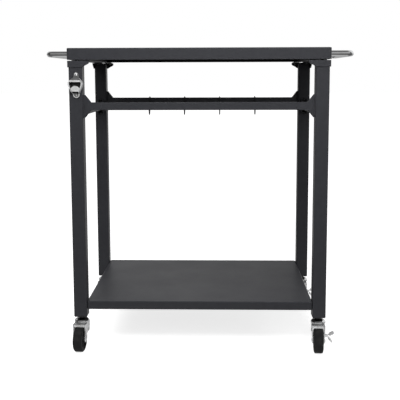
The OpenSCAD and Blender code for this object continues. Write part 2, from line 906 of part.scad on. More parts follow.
// Moulded hub: boss, web with ribs and a rim for the tyre
module wheel_hub(sx, sy) {
    boss_r = 10;
    rim_r = hub_d / 2 - 0.05;
    rim_t = 3.5;
    rim_half = wheel_w / 2 - 3;
    boss_half = arm_in - 0.3;
    web_half = 3;
    ribs = 6;
    color(nylon) at_wheel(sx, sy) difference() {
        union() {
            rotate_extrude() {
                translate([0, -boss_half]) square([boss_r, 2 * boss_half]);
                translate([boss_r - 1, -web_half]) square([rim_r - boss_r, 2 * web_half]);
                translate([rim_r - rim_t, -rim_half]) square([rim_t, 2 * rim_half]);
            }
            for (i = [0:ribs - 1]) rotate([0, 0, 360 * i / ribs])
                translate([boss_r - 1, -1, 1 - rim_half])
                    cube([rim_r - rim_t - boss_r + 2, 2, 2 * rim_half - 2]);
        }
        cylinder(d = axle_d + 2 * run_clear, h = 4 * boss_half, center = true);
    }
}

module wheel_tyre(sx, sy) {
    half = wheel_w / 2;
    color(rubber) at_wheel(sx, sy) rotate_extrude() difference() {
        union() {
            translate([0, -tread_half]) square([wheel_r, 2 * tread_half]);
            translate([0, -half]) square([wheel_r - shoulder, 2 * half]);
            for (side = [-1, 1])
                translate([wheel_r - shoulder, side * tread_half]) circle(shoulder);
        }
        translate([-wheel_r, -wheel_r]) square([wheel_r + hub_d / 2, 2 * wheel_r]);
    }
}

// Paddle of the brake lever, drawn outwards from the pivot
module paddle() {
    neck = 7;
    blade = paddle_len - neck;
    thick = 2;
    translate([0, 0, -thick / 2]) linear_extrude(thick) {
        translate([0, -(ear_gap - 0.6) / 2]) square([neck + 3, ear_gap - 0.6]);
        translate([neck + blade / 2, 0]) rounded_rect(blade, paddle_w, 5);
    }
}

module brake_lever(sy) {
    width = ear_gap - 0.6;
    color(zinc) at_caster(right, sy) translate([pivot_x, -trail, pivot_z]) difference() {
        union() {
            rotate([90, 0, 0]) cylinder(r = barrel_r, h = width, center = true);
            rotate([0, -40, 0]) paddle();
            rotate([0, 50, 0]) paddle();
        }
        rotate([90, 0, 0])
            cylinder(d = pivot_d + 2 * run_clear, h = width + 2 * cut, center = true);
    }
}

worktop();
worktop_channel(left);  // worktop_channel_left
worktop_channel(right);  // worktop_channel_right
corner_bracket(left, front);  // corner_bracket_front_left
corner_bracket(right, front);  // corner_bracket_front_right
corner_bracket(left, rear);  // corner_bracket_rear_left
corner_bracket(right, rear);  // corner_bracket_rear_right
leg(left, front);  // leg_front_left
leg(right, front);  // leg_front_right
leg(left, rear);  // leg_rear_left
leg(right, rear);  // leg_rear_right
cross_rail(front);  // front_rail
cross_rail(rear);  // rear_rail
side_rail(left);  // left_rail
side_rail(right);  // right_rail
lower_shelf();
shelf_channel();
handle(left);  // handle_left
handle(right);  // handle_right
bottle_opener();
opener_screws();
hook(1);  // hook_1
hook(2);  // hook_2
hook(3);  // hook_3
hook(4);  // hook_4
bracket_bolts();
bracket_nuts();
rail_bolts();
shelf_bolts();
leg_nuts();
handle_bolts();
leg_plug(left, front);  // leg_plug_front_left
leg_plug(right, front);  // leg_plug_front_right
leg_plug(left, rear);  // leg_plug_rear_left
leg_plug(right, rear);  // leg_plug_rear_right
caster_stem(left, front);  // caster_stem_front_left
caster_stem(right, front);  // caster_stem_front_right
caster_stem(left, rear);  // caster_stem_rear_left
caster_stem(right, rear);  // caster_stem_rear_right
caster_fork(left, front);  // caster_fork_front_left
caster_fork(right, front);  // caster_fork_front_right
caster_fork(left, rear);  // caster_fork_rear_left
caster_fork(right, rear);  // caster_fork_rear_right
caster_axle(left, front);  // caster_axle_front_left
caster_axle(right, front);  // caster_axle_front_right
caster_axle(left, rear);  // caster_axle_rear_left
caster_axle(right, rear);  // caster_axle_rear_right
wheel_hub(left, front);  // wheel_hub_front_left
wheel_hub(right, front);  // wheel_hub_front_right
wheel_hub(left, rear);  // wheel_hub_rear_left
wheel_hub(right, rear);  // wheel_hub_rear_right
wheel_tyre(left, front);  // wheel_tyre_front_left
wheel_tyre(right, front);  // wheel_tyre_front_right
wheel_tyre(left, rear);  // wheel_tyre_rear_left
wheel_tyre(right, rear);  // wheel_tyre_rear_right
brake_lever(front);  // brake_lever_front_right
brake_lever(rear);  // brake_lever_rear_right
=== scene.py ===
"""Looks of the grill cart: finishes, small details, studio and camera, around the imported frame."""
import json
import math

import bmesh
import bpy
from mathutils import Matrix, Vector


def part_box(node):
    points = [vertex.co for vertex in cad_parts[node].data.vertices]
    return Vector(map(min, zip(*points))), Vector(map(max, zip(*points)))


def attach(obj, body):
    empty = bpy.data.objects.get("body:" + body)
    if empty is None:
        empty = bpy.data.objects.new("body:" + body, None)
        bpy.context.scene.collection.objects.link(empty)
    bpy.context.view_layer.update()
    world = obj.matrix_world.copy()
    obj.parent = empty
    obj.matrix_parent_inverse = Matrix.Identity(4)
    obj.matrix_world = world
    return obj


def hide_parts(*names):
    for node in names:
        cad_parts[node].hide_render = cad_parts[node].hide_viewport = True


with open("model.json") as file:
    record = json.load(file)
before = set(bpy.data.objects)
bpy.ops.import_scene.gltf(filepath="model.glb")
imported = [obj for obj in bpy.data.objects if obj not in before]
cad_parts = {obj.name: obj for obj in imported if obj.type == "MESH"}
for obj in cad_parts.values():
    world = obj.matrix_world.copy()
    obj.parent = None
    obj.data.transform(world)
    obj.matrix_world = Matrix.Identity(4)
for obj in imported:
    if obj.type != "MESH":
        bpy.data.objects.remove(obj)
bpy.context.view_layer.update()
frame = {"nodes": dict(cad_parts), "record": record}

NODES = frame["nodes"]
SLOT_OF = {part["node"]: part["material_slot"] for part in frame["record"]["subparts"]}

# Camera, worked out from the photograph: place in metres, angles in degrees
CAMERA_PLACE = Vector((0.0556, -2.3726, 0.8354))
CAMERA_PITCH = -6.65
CAMERA_YAW = 1.40
CAMERA_ROLL = -0.16
FOCAL_PIXELS = 731.1
FRAME_PIXELS = 400
SENSOR_WIDTH = 36.0
FRAME_SHIFT = -0.10


# Shader helpers

class Shader:
    """A material's node tree, with short calls that add and join nodes."""

    def __init__(self, name):
        self.material = bpy.data.materials.new(name)
        self.material.use_nodes = True
        self.tree = self.material.node_tree
        self.tree.nodes.clear()
        output = self.add("ShaderNodeOutputMaterial")
        self.surface = self.add("ShaderNodeBsdfPrincipled")
        self.join(self.surface.outputs["BSDF"], output.inputs["Surface"])
        self.place = self.add("ShaderNodeTexCoord").outputs["Object"]

    def add(self, kind, **settings):
        """A new node of that kind with those settings."""
        node = self.tree.nodes.new(kind)
        for key, value in settings.items():
            setattr(node, key, value)
        return node

    def join(self, source, target):
        self.tree.links.new(source, target)

    def put(self, target, value):
        """Joins an output to a socket, or sets the socket's own value."""
        if isinstance(value, bpy.types.NodeSocket):
            self.join(value, target)
        else:
            target.default_value = value

    def mapped(self, scale):
        """The place on the piece, stretched by a scale for each axis."""
        node = self.add("ShaderNodeMapping")
        self.join(self.place, node.inputs["Vector"])
        node.inputs["Scale"].default_value = scale
        return node.outputs["Vector"]

    def noise(self, scale, detail, roughness, vector=None):
        """Cloudy noise, finer for a larger scale."""
        node = self.add("ShaderNodeTexNoise")
        self.join(vector or self.place, node.inputs["Vector"])
        node.inputs["Scale"].default_value = scale
        node.inputs["Detail"].default_value = detail
        node.inputs["Roughness"].default_value = roughness
        return node.outputs["Fac"]

    def cells(self, scale):
        """Distance to the middle of the nearest cell."""
        node = self.add("ShaderNodeTexVoronoi")
        self.join(self.place, node.inputs["Vector"])
        node.inputs["Scale"].default_value = scale
        return node.outputs["Distance"]

    def spread(self, value, low, high, to_low=0.0, to_high=1.0):
        """Maps low..high of a value to to_low..to_high, held at the ends."""
        node = self.add("ShaderNodeMapRange")
        self.put(node.inputs["Value"], value)
        node.inputs["From Min"].default_value = low
        node.inputs["From Max"].default_value = high
        node.inputs["To Min"].default_value = to_low
        node.inputs["To Max"].default_value = to_high
        return node.outputs["Result"]

    def math(self, operation, a, b):
        node = self.add("ShaderNodeMath", operation=operation)
        self.put(node.inputs[0], a)
        self.put(node.inputs[1], b)
        return node.outputs["Value"]

    def mix(self, factor, a, b):
        """Colour a where the factor is 0 and b where it is 1."""
        node = self.add("ShaderNodeMix", data_type="RGBA")
        self.put(node.inputs["Factor"], factor)
        self.put(node.inputs[6], a)
        self.put(node.inputs[7], b)
        return node.outputs[2]

    def bump(self, height, distance, strength, normal=None):
        """Normal of a relief that stands up by that distance in metres."""
        node = self.add("ShaderNodeBump")
        self.put(node.inputs["Height"], height)
        node.inputs["Distance"].default_value = distance
        node.inputs["Strength"].default_value = strength
        if normal is not None:
            self.join(normal, node.inputs["Normal"])
        return node.outputs["Normal"]

    def edge_mask(self, radius):
        """1 on sharp edges and 0 on flat faces, from a rounded normal against the true one."""
        geometry = self.add("ShaderNodeNewGeometry")
        dot = self.add("ShaderNodeVectorMath", operation="DOT_PRODUCT")
        self.join(self.rounded(radius), dot.inputs[0])
        self.join(geometry.outputs["Normal"], dot.inputs[1])
        return self.spread(dot.outputs["Value"], 0.98, 0.80)

    def crevice(self, reach):
        """1 where the surface is open and towards 0 in its corners, within that reach."""
        node = self.add("ShaderNodeAmbientOcclusion", samples=8)
        node.inputs["Distance"].default_value = reach
        return node.outputs["AO"]

    def rounded(self, radius):
        """Normal with edges rounded by that radius, to start a bump chain."""
        bevel = self.add("ShaderNodeBevel", samples=4)
        bevel.inputs["Radius"].default_value = radius
        return bevel.outputs["Normal"]

    def finish(self, normal, **values):
        """Sets the surface's inputs by their names, with underscores for blanks."""
        for name, value in values.items():
            self.put(self.surface.inputs[name.replace("_", " ")], value)
        self.join(normal, self.surface.inputs["Normal"])
        return self.material


def grey(level, warm=0.0):
    """A neutral colour, a little bluer for a negative warm."""
    return (level * (1 + warm), level, level * (1 - warm), 1.0)


def slate(level):
    """The coat's own grey, with a touch of blue."""
    return (level * 0.98, level, level * 1.13, 1.0)


# Materials

def powder_coat(name, level, edge_level, edge_reach, sheen_low, sheen_high):
    """Fine-textured charcoal powder coat: sand grain, orange peel, cloudy sheen, polished edges; a
    higher edge level and reach make those light edges a painted highlight.
    """
    s = Shader(name)
    grain = s.noise(1400, 2.0, 0.6)
    peel = s.noise(260, 2.0, 0.5)
    cloud = s.noise(7.0, 3.0, 0.55)
    mottle = s.noise(60, 3.0, 0.6)
    tone = s.spread(mottle, 0.3, 0.7, 0.0, 1.0)
    flat = s.mix(tone, slate(level * 0.93), slate(level * 1.07))
    speck = s.spread(grain, 0.62, 0.72)
    flat = s.mix(s.math("MULTIPLY", speck, 0.35), flat, slate(level * 1.7))
    # Lighter edges: wear, and on the shelf's coat also a painted highlight.
    edge = s.math("MULTIPLY", s.edge_mask(edge_reach), s.spread(mottle, 0.35, 0.6, 0.3, 1.0))
    colour = s.mix(edge, flat, slate(edge_level))
    rough = s.math("ADD", s.spread(cloud, 0.3, 0.7, sheen_low, sheen_high),
                   s.spread(grain, 0.3, 0.7, -0.03, 0.03))
    normal = s.bump(peel, 0.00012, 0.5, s.rounded(0.0006))
    normal = s.bump(grain, 0.00005, 0.6, normal)
    return s.finish(normal, Base_Color=colour, Roughness=rough, Specular_IOR_Level=0.22)


def chrome(name, level, smudge):
    """Chrome plate with faint smudges and hair scratches."""
    s = Shader(name)
    cloud = s.noise(24, 4.0, 0.6)
    scratch = s.noise(900, 2.0, 0.5, s.mapped((1, 0.03, 1)))
    rough = s.math("ADD", s.spread(cloud, 0.35, 0.7, 0.04, smudge),
                   s.spread(scratch, 0.55, 0.75, 0.0, 0.05))
    colour = s.mix(s.spread(cloud, 0.4, 0.8), grey(level, -0.01), grey(level * 0.9, 0.0))
    return s.finish(s.bump(scratch, 0.000004, 0.4), Base_Color=colour, Metallic=1.0, Roughness=rough)


def zinc_plate(name, level, low, high, painted_corner_shade=0.0, metallic=1.0):
    """Bright zinc plate: a faint spangle, drawn lines, dull patches, and painted shade that darkens its
    corners.
    """
    s = Shader(name)
    spangle = s.cells(420)
    cloud = s.noise(70, 4.0, 0.6)
    lines = s.noise(1500, 2.0, 0.5, s.mapped((1, 1, 0.06)))
    tone = s.spread(cloud, 0.3, 0.75)
    colour = s.mix(tone, grey(level, -0.015), grey(level * 0.72, 0.01))
    edge = s.edge_mask(0.0008)
    colour = s.mix(s.math("MULTIPLY", edge, 0.5), colour, grey(min(level * 1.25, 0.95)))
    # Painted shade: ambient occlusion darkens corners and recesses towards near black.
    if painted_corner_shade:
        corner_shade_mask = s.spread(s.crevice(0.03), 0.72, 0.35, 0.0, painted_corner_shade)
        colour = s.mix(corner_shade_mask, colour, grey(0.02))
    rough = s.math("ADD", s.spread(cloud, 0.3, 0.7, low, high), s.spread(spangle, 0.0, 0.7, 0.0, 0.06))
    normal = s.bump(lines, 0.00002, 0.35, s.rounded(0.0004))
    return s.finish(normal, Base_Color=colour, Metallic=metallic, Roughness=rough)


def black_oxide(name, level):
    """Blackened steel with polished edges and turning marks."""
    s = Shader(name)
    cloud = s.noise(180, 3.0, 0.6)
    edge = s.edge_mask(0.0006)
    colour = s.mix(s.math("MULTIPLY", edge, 0.8), grey(level, -0.04), grey(level * 6, 0.0))
    rough = s.spread(cloud, 0.3, 0.7, 0.28, 0.46)
    return s.finish(s.bump(cloud, 0.00003, 0.5, s.rounded(0.0003)), Base_Color=colour,
                    Metallic=0.4, Roughness=rough)


def moulded_nylon(name, level):
    """Black moulded plastic with a fine spark-eroded grain."""
    s = Shader(name)
    grain = s.noise(2200, 2.0, 0.6)
    cloud = s.noise(90, 3.0, 0.6)
    colour = s.mix(s.spread(cloud, 0.3, 0.7), grey(level, -0.02), grey(level * 1.5, -0.02))
    rough = s.spread(cloud, 0.3, 0.7, 0.42, 0.58)
    return s.finish(s.bump(grain, 0.00004, 0.6, s.rounded(0.0005)), Base_Color=colour, Roughness=rough)


def tyre_rubber(name, level):
    """Black rubber with a dusty bloom on the tread and fine moulding rings."""
    s = Shader(name)
    grain = s.noise(900, 3.0, 0.65)
    cloud = s.noise(55, 4.0, 0.6)
    dust = s.spread(cloud, 0.45, 0.75)
    colour = s.mix(dust, grey(level, -0.02), grey(level * 2.2, 0.02))
    rough = s.spread(cloud, 0.3, 0.7, 0.55, 0.75)
    return s.finish(s.bump(grain, 0.00008, 0.7), Base_Color=colour, Roughness=rough,
                    Specular_IOR_Level=0.22)


def make_materials():
    """Every material of the cart, by the name that its nodes and pieces ask for."""
    return {
        "powder_coat": powder_coat("powder_coat", level=0.030, edge_level=0.055, edge_reach=0.0012,
                                   sheen_low=0.38, sheen_high=0.44),
        # The shelf's coat has wider, lighter edges: wear and a painted highlight along its bent edge.
        "shelf_coat_wear_and_highlight": powder_coat("shelf_coat_wear_and_highlight", level=0.030, edge_level=0.10, edge_reach=0.0026,
                                  sheen_low=0.38, sheen_high=0.44),
        "handle_chrome": chrome("handle_chrome", level=0.72, smudge=0.08),
        # The opener's steel and the race get painted shade in their corners.
        "opener_steel": zinc_plate("opener_steel", level=0.90, low=0.30, high=0.42, painted_corner_shade=0.95,
                                   metallic=0.55),
        # A darker copy of the opener's steel for its plate: painted shade.
        "opener_steel_shaded": zinc_plate("opener_steel_shaded", level=0.20, low=0.34, high=0.46, painted_corner_shade=0.9,
                                  metallic=0.55),
        "screw_zinc": zinc_plate("screw_zinc", level=0.92, low=0.16, high=0.26, metallic=0.35),
        "hook_wire": black_oxide("hook_wire", level=0.020),
        "black_fastener": black_oxide("black_fastener", level=0.018),
        "black_plastic": moulded_nylon("black_plastic", level=0.016),
        "caster_zinc": zinc_plate("caster_zinc", level=0.92, low=0.16, high=0.28, metallic=0.85),
        "race_zinc": zinc_plate("race_zinc", level=0.74, low=0.10, high=0.18, painted_corner_shade=0.8),
        "tyre_rubber": tyre_rubber("tyre_rubber", level=0.010),
    }


def dress_nodes(materials):
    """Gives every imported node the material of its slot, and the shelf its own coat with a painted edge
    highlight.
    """
    own = {"lower_shelf": "shelf_coat_wear_and_highlight"}
    for name, node in NODES.items():
        node.data.materials.clear()
        node.data.materials.append(materials[own.get(name, SLOT_OF[name])])


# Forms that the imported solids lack, drawn in millimetres

MILLIMETRE = 0.001
SIDES = {"left": -1, "right": 1}
ENDS = {"front": -1, "rear": 1}
FINE_STEPS = 40
SMALL_STEPS = 24
SHARP_ANGLE = 35

# Handles: bent rods at the middle of the worktop's sides
HANDLE_RADIUS = 9.0
HANDLE_BEND = 14.0
HANDLE_HALF = 150.0
HANDLE_Z = 898.6
HANDLE_ROOT = 384.0

# Bottle opener: sizes and places about its upper screw, with Y from the leg's face.
# HOOD_HALF is half of the hood's outline in X and Z, HOOD_OUT is how far it stands out at a height,
# and a row of ROOF is a Y with the half width and height of the roof's upper and lower edge there.
OPENER_SHIFT = 2.5
OPENER_Z = 837.5
SCREW_PITCH = 59.0
PLATE_T = 2.0
PLATE_BACK = -0.1
HOOD_WALL = 3.4
TAB_RADIUS = 6.8
FOOT_RADIUS = 9.8
FOOT_STEPS = 14
HOOD_HALF = [(8.5, -9), (15.5, -17), (20.5, -24), (20.5, -30), (15.25, -44), (13, -50), (10.5, -57)]
HOOD_OUT = [(-9, 2), (-17, 24), (-44, 24), (-50, 21), (-57, 6), (-69, 4)]
ROOF = [(0, 8.5, -8.8, 12, -14), (-2, 8.5, -8.8, 12.5, -14.7), (-23, 15.2, -16.4, 18.6, -21.8)]
BAR = [(-15.5, -17), (15.5, -17), (19, -22), (-19, -22)]
BAR_FRONT = -24.2
BAR_BACK = -22
TOOTH_FOOT = [(11.3, -50), (14.1, -42.8)]
TOOTH_RADIUS = 15.4
TOOTH_MIDDLE_Z = -48.9
TOOTH_FRONT = -21
TOOTH_BACK = -18.4
SCREW_HEAD = [(4.4, -PLATE_T), (4.4, -3), (3.7, -4), (2.3, -4.7), (0.7, -4.9)]
SLOT_HALF = (2.2, 0.4)
SLOT_FRONT = -4.95
SLOT_BACK = -4.5

# Skirts of the brackets' lugs: heights, reach along the rails, and place on the legs' outer faces
LUG_LOW_Z = 858.0
LUG_TOP_Z = 877.0
LUG_REACH = 21.0
LUG_TIP = 6.5
LUG_OUT = 0.95
LUG_SKIN = 2.2

# Casters: heights above the floor, distances from the swivel axis, and turns in degrees
CASTER_TURN = {"left": -5.0, "right": -4.0}
TRAIL = 26.0
AXLE_Z = 38.0
AXLE_RADIUS = 4.0
RIVET_Z = 80.2
RIVET_RADIUS = 8.0
KINGPIN_RADIUS = 6.0
SKIRT_Z = 76.6
CROWN_Z = 85.2
CROWN_RADIUS = 19.8
RACE_Z = 85.6
RACE_RADIUS = 22.3
DOME_FOOT_Z = 88.6
DOME_TOP_Z = 98.0
STEM_RADIUS = 5.0
STEM_TOP_Z = 104.0
NUT_RADIUS = 9.2
NUT_TOP_Z = 105.0
SHEET_T = 2.4
FORK_INSIDE = 16.2
FORK_OUTSIDE = FORK_INSIDE + SHEET_T
FORK_FRONT = -TRAIL - 4.9
FORK_BACK = 17.0
BACK_EDGE = [(FORK_BACK, CROWN_Z), (FORK_BACK, SKIRT_Z), (FORK_BACK - 2, AXLE_Z + 24),
             (FORK_BACK - 5, AXLE_Z + 19), (FORK_BACK - 11, AXLE_Z + 16)]
RIM_OUT = 1.6
EYE_RADIUS = 9.0

# Brake levers: the pivot's X and Z, and each paddle's tilt in degrees and width
PIVOT = (24.0, 54.0)
BARREL_RADIUS = 3.4
BARREL_HALF = 2.2
EAR_IN = 2.5
EAR_OUT = 4.5
PADDLES = ((27, 25), (-48, 29))
PADDLE_LENGTH = 24
PADDLE_HALF_T = 1.3


def spot(axis, u, v, along):
    """A point whose two drawn coordinates lie across that axis."""
    return {"X": (along, u, v), "Y": (u, along, v), "Z": (u, v, along)}[axis]


def arc(centre, radius, start, end, steps):
    """Points of an arc, with its angles in degrees."""
    turns = [math.radians(start + (end - start) * i / steps) for i in range(steps + 1)]
    return [(centre[0] + radius * math.cos(a), centre[1] + radius * math.sin(a)) for a in turns]


def rectangle(u1, v1, u2, v2):
    """Outline between two opposite corners."""
    return [(u1, v1), (u2, v1), (u2, v2), (u1, v2)]


def flipped(points):
    """The other half of a symmetric outline, drawn back to its start."""
    return [(-u, v) for u, v in reversed(points)]


def node_box(node):
    """Lowest and highest corners of a node, in millimetres."""
    return [Vector(corner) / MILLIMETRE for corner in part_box(node)]


def seat(piece, body, slot, *nodes):
    """Puts a piece on its body, in place of the nodes that it stands for."""
    bpy.context.scene.collection.objects.link(piece)
    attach(piece, body)
    if nodes:
        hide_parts(*nodes)


class Solid:
    """A mesh of prisms and turned profiles about one place on the cart."""

    def __init__(self, place=(0, 0, 0), turn=0.0):
        self.mesh = bmesh.new()
        self.at = (Matrix.Scale(MILLIMETRE, 4) @ Matrix.Translation(Vector(place))
                   @ Matrix.Rotation(math.radians(turn), 4, "Z"))

    def skin(self, rings, closed=False):
        """Joins a row of rings of points, with caps or back to its start."""
        made = [[self.mesh.verts.new(self.at @ Vector(point)) for point in ring] for ring in rings]
        for low, high in zip(made, made[1:] + (made[:1] if closed else [])):
            for i in range(len(low)):
                j = (i + 1) % len(low)
                self.mesh.faces.new((low[i], low[j], high[j], high[i]))
        if not closed:
            self.mesh.faces.new(made[0])
            self.mesh.faces.new(made[-1])

    def prism(self, outline, axis, low, high):
        """Draws an outline across an axis out from one place on it to another."""
        self.skin([[spot(axis, u, v, along) for u, v in outline] for along in (low, high)])

    def lathe(self, profile, axis="Z", centre=(0, 0), steps=FINE_STEPS):
        """Turns a profile of (radius, place along the axis)."""
        circle = arc((0, 0), 1, 0, 360 - 360 / steps, steps - 1)
        self.skin([[spot(axis, centre[0] + r * u, centre[1] + r * v, along) for u, v in circle]
                   for r, along in profile])

    def done(self, name, body, slot, material, *nodes):
        """Makes the piece, smooth but for its sharp edges, and seats it."""
        bmesh.ops.recalc_face_normals(self.mesh, faces=self.mesh.faces)
        mesh = bpy.data.meshes.new(name)
        self.mesh.to_mesh(mesh)
        self.mesh.free()
        mesh.materials.append(material)
        mesh.shade_smooth()
        mesh.set_sharp_from_angle(angle=math.radians(SHARP_ANGLE))
        seat(bpy.data.objects.new(name, mesh), body, slot, *nodes)


def make_handle(side, materials):
    """Rod out of the worktop's lip, along its side and back in."""
    node = f"handle_{side}"
    low, high = node_box(node)
    middle = (low.y + high.y) / 2
    far = max(abs(low.x), high.x) - HANDLE_RADIUS - HANDLE_BEND
    corner = arc((far, HANDLE_BEND - HANDLE_HALF), HANDLE_BEND, -90, 0, 10)
    half = [(HANDLE_ROOT, -HANDLE_HALF)] + corner
    path = half + [(x, -y) for x, y in reversed(half)]
    curve = bpy.data.curves.new(node + "_rod", "CURVE")
    curve.dimensions = "3D"
    curve.bevel_depth = HANDLE_RADIUS * MILLIMETRE
    curve.bevel_resolution = 10
    line = curve.splines.new("POLY")
    line.points.add(len(path) - 1)
    for point, (x, y) in zip(line.points, path):
        place = Vector((SIDES[side] * x, y + middle, HANDLE_Z)) * MILLIMETRE
        point.co = (*place, 1)
    line.use_smooth = True
    curve.materials.append(materials["handle_chrome"])
    seat(bpy.data.objects.new(node + "_rod", curve), "frame", "handle_chrome", node)


def hood_front(z):
    """Y of the hood's front edge at a height."""
    for (z1, out1), (z2, out2) in zip(HOOD_OUT, HOOD_OUT[1:]):
        if z >= z2:
            return -out1 - (out2 - out1) * (z1 - z) / (z1 - z2)
    return -HOOD_OUT[-1][1]


def hood_outline(wall):
    """Outline of the hood below its roof, drawn in by a wall's thickness for its inside."""
    half = [(x - wall, z) for x, z in HOOD_HALF]
    return half + arc((0, -SCREW_PITCH), FOOT_RADIUS - wall, 0, -180, FOOT_STEPS) + flipped(half)


def make_hood(place, materials):
    """Side walls round the pocket, the bar across their front, and the tooth."""
    hood = Solid(place)
    hood.skin([[(x, 0, z), (x, hood_front(z), z), (u, hood_front(w), w), (u, 0, w)]
               for (x, z), (u, w) in zip(hood_outline(0), hood_outline(HOOD_WALL))], closed=True)
    hood.prism(BAR, "Y", BAR_FRONT, BAR_BACK)
    crest = arc((0, TOOTH_MIDDLE_Z), TOOTH_RADIUS, 25, 155, 18)
    hood.prism(TOOTH_FOOT + crest + flipped(TOOTH_FOOT), "Y", TOOTH_FRONT, TOOTH_BACK)
    hood.done("opener_hood", "frame", "opener_steel", materials["opener_steel"], "bottle_opener")


def make_opener_plate(place, materials):
    """Base plate with its tab, and the roof that slopes from the tab to the bar, in a darker copy of the
    opener's steel: painted shade and dark reflection.
    """
    plate = Solid(place)
    tab = arc((0, 0), TAB_RADIUS, 0, 180, FOOT_STEPS)
    plate.prism(tab + list(reversed(hood_outline(0))), "Y", -PLATE_T, PLATE_BACK)
    plate.skin([[(-a, y, top), (a, y, top), (b, y, low), (-b, y, low)] for y, a, top, b, low in ROOF])
    plate.done("opener_plate", "frame", "opener_steel", materials["opener_steel_shaded"])


def make_opener_screws(place, materials):
    """Two domed heads with cross slots, the slots drawn as thin black sheets on the heads: painted
    shade.
    """
    slot = SLOT_OF["opener_screws"]
    heads = Solid(place)
    slots = Solid(place)
    long_half, thin_half = SLOT_HALF
    for z in (0, -SCREW_PITCH):
        heads.lathe(SCREW_HEAD, "Y", (0, z), SMALL_STEPS)
        for u, v in ((long_half, thin_half), (thin_half, long_half)):
            # Painted shade: each cross slot is a thin black sheet on the head, not cut in.
            slots.prism(rectangle(-u, z - v, u, z + v), "Y", SLOT_FRONT, SLOT_BACK)
    heads.done("opener_screw_heads", "frame", slot, materials["screw_zinc"], "opener_screws")
    slots.done("opener_screw_slot_shade", "frame", slot, materials["black_fastener"])


def make_opener(materials):
    """Wall opener on the front left leg."""
    low, high = node_box("leg_front_left")
    place = ((low.x + high.x) / 2 + OPENER_SHIFT, low.y, OPENER_Z)
    make_hood(place, materials)
    make_opener_plate(place, materials)
    make_opener_screws(place, materials)


def make_lugs(materials):
    """Tapered skirts on the two lugs of each corner bracket."""
    taper = [(-1, LUG_LOW_Z), (LUG_REACH - 2, LUG_TOP_Z - 9), (LUG_REACH, LUG_TOP_Z - LUG_TIP),
             (LUG_REACH, LUG_TOP_Z), (-1, LUG_TOP_Z)]
    lugs = Solid()
    for side, sx in SIDES.items():
        for end, sy in ENDS.items():
            low, high = node_box(f"leg_{end}_{side}")
            inner_x, outer_x = (high.x, low.x) if sx < 0 else (low.x, high.x)
            inner_y, outer_y = (high.y, low.y) if sy < 0 else (low.y, high.y)
            face_x = outer_x + sx * LUG_OUT
            face_y = outer_y + sy * LUG_OUT
            lugs.prism([(inner_x - sx * u, z) for u, z in taper], "Y", face_y, face_y + sy * LUG_SKIN)
            lugs.prism([(inner_y - sy * u, z) for u, z in taper], "X", face_x, face_x + sx * LUG_SKIN)
    lugs.done("bracket_lugs", "frame", "powder_coat", materials["powder_coat"])


def caster_solid(end, side):
    """An empty solid about a caster's swivel axis, turned as the caster stands."""
    low, high = node_box(f"leg_{end}_{side}")
    return Solid(((low.x + high.x) / 2, (low.y + high.y) / 2, 0), CASTER_TURN[side])


def make_race(end, side, materials):
    """Domed race with the kingpin's riveted foot below, and the stem's black hexagon above."""
    node = f"caster_stem_{end}_{side}"
    nut = caster_solid(end, side)
    nut.lathe([(NUT_RADIUS, DOME_TOP_Z), (NUT_RADIUS, NUT_TOP_Z)], steps=6)
    nut.done(f"stem_nut_{end}_{side}", "frame", SLOT_OF[node], materials["black_fastener"])
    rivet = [(2, RIVET_Z), (RIVET_RADIUS, RIVET_Z), (RIVET_RADIUS, RIVET_Z + 2.2),
             (KINGPIN_RADIUS, RIVET_Z + 2.4), (KINGPIN_RADIUS, RACE_Z)]
    rim = [(RACE_RADIUS - 1, RACE_Z), (RACE_RADIUS, RACE_Z + 0.6)]
    dome = [(STEM_RADIUS + (RACE_RADIUS - STEM_RADIUS) * u, DOME_FOOT_Z + (DOME_TOP_Z - DOME_FOOT_Z) * v)
            for u, v in arc((0, 0), 1, 0, 90, 9)]
    stem = [(STEM_RADIUS, DOME_TOP_Z + 1), (STEM_RADIUS, STEM_TOP_Z), (1, STEM_TOP_Z)]
    race = caster_solid(end, side)
    race.lathe(rivet + rim + dome + stem)
    race.done(f"race_{end}_{side}", "frame", SLOT_OF[node], materials["race_zinc"], node)


def cheek_outline():
    """Side of the fork in Y and Z: wide under the crown, sweeping forward to the axle's eye."""
    sweep = [(16 - TRAIL, AXLE_Z + 13), (10 - TRAIL, AXLE_Z + 9)]
    eye = arc((-TRAIL, AXLE_Z), EYE_RADIUS, 60, -180, 20)
    front_edge = [(-TRAIL - 8, AXLE_Z + 6), (FORK_FRONT, AXLE_Z + 12)]
    return [(FORK_FRONT, CROWN_Z)] + BACK_EDGE + sweep + eye + front_edge


def back_rim_outline():
    """Turned-out edge along the back of a cheek."""
    inside = [(FORK_BACK - 11, AXLE_Z + 18.4), (FORK_BACK - 6.5, AXLE_Z + 21),
              (FORK_BACK - 4.4, AXLE_Z + 25), (FORK_BACK - SHEET_T, SKIRT_Z)]
    return [(FORK_BACK - SHEET_T, CROWN_Z)] + BACK_EDGE + inside


